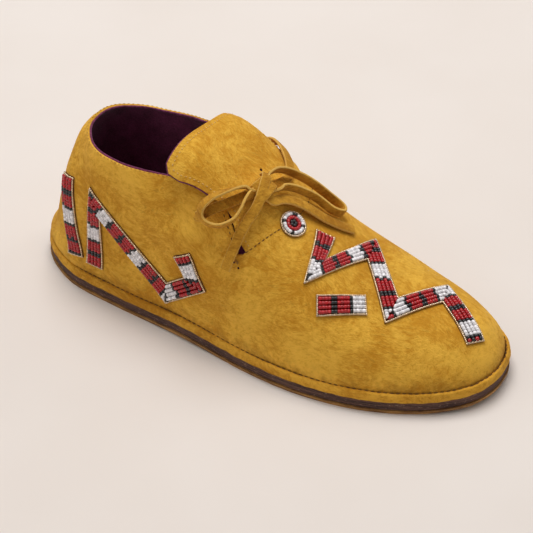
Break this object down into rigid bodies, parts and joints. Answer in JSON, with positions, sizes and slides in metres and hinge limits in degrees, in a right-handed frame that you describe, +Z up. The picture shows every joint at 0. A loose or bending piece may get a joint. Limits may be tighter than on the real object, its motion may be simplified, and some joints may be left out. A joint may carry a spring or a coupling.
{
  "type": "moccasin",
  "caption": "Low suede moccasin with an open collar, a lifted front flap tied by a flat thong, a thin flat sole with a stitched band, and raised geometric beadwork.",
  "frame": {"origin": "centre of the shoe's bounding box in plan, at the plane its outsole stands on", "axes": "+X towards the toe, +Y to the inner side of the foot, +Z up"},
  "size_m": [0.2614, 0.098, 0.1045],
  "materials": {
    "suede": "matte suede nap",
    "sole_leather": "matte",
    "sole_bottom": "matte",
    "lining": "matte",
    "beads": "gloss opaque seed beads"
  },
  "bodies": {
    "root": {"outsole": "sole_bottom", "midsole": "sole_leather", "welt_band": "suede", "insole": "lining", "upper": "suede", "tongue": "suede", "lace_crossing": "suede", "lace_knot": "suede", "lace_loop_lateral": "suede", "lace_loop_medial": "suede", "lace_end_lateral": "suede", "lace_end_medial": "suede", "beadwork_rosette": "beads", "beadwork_vamp": "beads", "beadwork_bar": "beads", "beadwork_lateral": "beads", "beadwork_medial": "beads", "beadwork_heel_lateral": "beads", "beadwork_heel_medial": "beads"}
  },
  "joints": []
}
